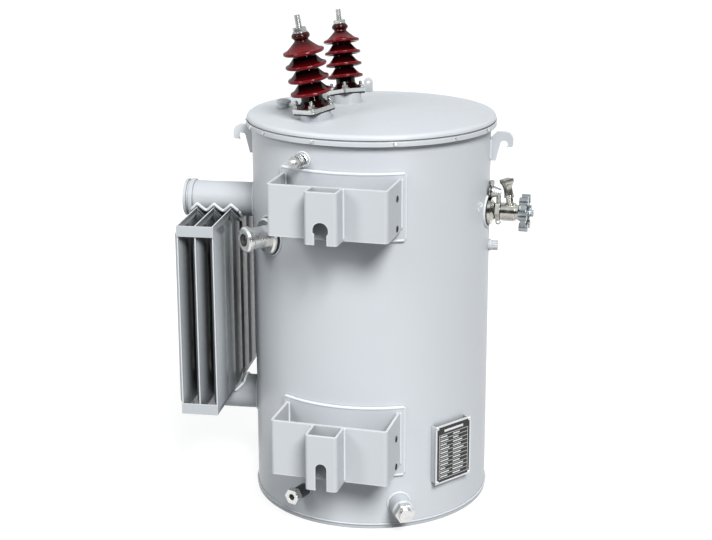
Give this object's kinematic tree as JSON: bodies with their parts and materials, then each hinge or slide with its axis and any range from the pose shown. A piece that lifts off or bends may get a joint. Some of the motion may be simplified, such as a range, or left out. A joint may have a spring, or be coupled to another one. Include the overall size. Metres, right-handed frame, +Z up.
{
  "type": "pole mounted transformer",
  "caption": "Oil filled pole mounted transformer: round tank with domed lid, high voltage bushings, hanger brackets, panel radiator and hand valve.",
  "frame": {"origin": "centre of the tank's underside, on the floor", "axes": "+Z up along the tank axis; hanger brackets face -Y, radiator towards -X, hand valve towards +X"},
  "size_m": [0.9166, 0.8934, 1.2742],
  "materials": {
    "tank_paint": "semi gloss light grey paint",
    "gasket_rubber": "matte black",
    "porcelain": "glossy dark red brown glaze",
    "zinc_steel": "bright zinc plate",
    "valve_metal": "plated bronze, satin",
    "wheel_iron": "satin blue grey casting",
    "plate_metal": "satin, dark blank field"
  },
  "bodies": {
    "transformer": {"tank_shell": "tank_paint", "tank_bottom": "tank_paint", "lid_band": "tank_paint", "lid": "tank_paint", "hv_necks": "tank_paint", "lid_eye": "tank_paint", "filler_plug": "tank_paint", "lifting_hooks": "tank_paint", "hanger_plates": "tank_paint", "upper_hanger_box": "tank_paint", "upper_hanger_nose": "tank_paint", "lower_hanger_box": "tank_paint", "lower_hanger_nose": "tank_paint", "upper_header": "tank_paint", "lower_header": "tank_paint", "header_caps": "tank_paint", "radiator_panel_1": "tank_paint", "radiator_panel_2": "tank_paint", "radiator_panel_3": "tank_paint", "radiator_ties": "tank_paint", "nameplate_bracket": "tank_paint", "drain_boss": "tank_paint", "lid_gasket": "gasket_rubber", "hv_gaskets": "gasket_rubber", "valve_gasket": "gasket_rubber", "gland_gasket": "gasket_rubber", "low_fitting_body": "gasket_rubber", "hv_porcelain_1": "porcelain", "hv_porcelain_2": "porcelain", "lv_porcelains": "porcelain", "hv_flanges": "zinc_steel", "hv_terminals": "zinc_steel", "valve_bonnet": "zinc_steel", "gland_body": "zinc_steel", "earth_stud": "zinc_steel", "side_plug": "zinc_steel", "low_fitting_nut": "zinc_steel", "drain_plug": "zinc_steel", "lv_flanges": "zinc_steel", "lv_terminals": "zinc_steel", "valve_body": "valve_metal", "valve_post": "valve_metal", "nameplate": "plate_metal"},
    "wheel": {"handwheel": "wheel_iron"}
  },
  "joints": [
    {"name": "valve_turn", "type": "hinge", "parent": "transformer", "child": "wheel", "pos_m": [0.389, 0, 0.768], "axis": [1, 0, 0], "range_deg": [0, 1440]}
  ]
}
